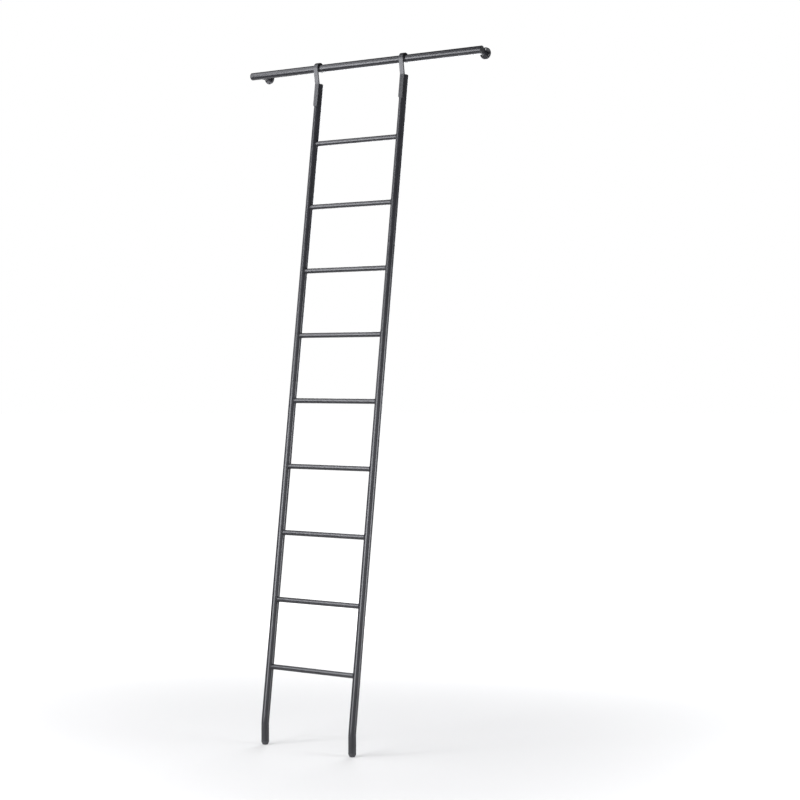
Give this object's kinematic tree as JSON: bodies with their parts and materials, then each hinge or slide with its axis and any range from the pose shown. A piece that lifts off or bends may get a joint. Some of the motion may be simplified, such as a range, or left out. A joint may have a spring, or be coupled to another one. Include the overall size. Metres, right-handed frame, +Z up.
{
  "type": "library ladder",
  "caption": "Slender round-tube ladder that hooks over a wall-fixed rail, slides along it and tilts about it, with feet bent to stand upright on the floor.",
  "frame": {"origin": "on the floor, midway along the rail, and midway between the feet's fronts and the plane of the bookcase's face", "axes": "+X along the rail, +Y from the ladder towards the bookcase, +Z up"},
  "size_m": [1.108, 0.4458, 2.6863],
  "materials": {
    "black_steel": "satin black powder coat",
    "black_plastic": "fine matt moulded plastic",
    "black_rubber": "matt moulded rubber",
    "nylon": "smooth black nylon",
    "black_oxide": "black oxide"
  },
  "bodies": {
    "rail": {"rail_tube": "black_steel", "rail_cap_left": "black_plastic", "rail_cap_right": "black_plastic", "post_left": "black_steel", "post_right": "black_steel", "flange_left": "black_steel", "flange_right": "black_steel", "grub_screw_left": "black_oxide", "grub_screw_right": "black_oxide"},
    "glides": {"hook_glide_left": "nylon", "hook_glide_right": "nylon"},
    "ladder": {"hook_left": "black_steel", "hook_right": "black_steel", "stile_left": "black_steel", "stile_right": "black_steel", "stile_cap_left": "black_plastic", "stile_cap_right": "black_plastic", "foot_left": "black_rubber", "foot_right": "black_rubber", "rung_1": "black_steel", "rung_2": "black_steel", "rung_3": "black_steel", "rung_4": "black_steel", "rung_5": "black_steel", "rung_6": "black_steel", "rung_7": "black_steel", "rung_8": "black_steel", "rung_9": "black_steel"}
  },
  "joints": [
    {"name": "ladder_slide", "type": "slide", "parent": "rail", "child": "glides", "axis": [1, 0, 0], "range_m": [-0.286, 0.302]},
    {"name": "ladder_tilt", "type": "hinge", "parent": "glides", "child": "ladder", "pos_m": [-0.008, 0.14388, 2.663], "axis": [-1, 0, 0], "range_deg": [0, 25]}
  ]
}
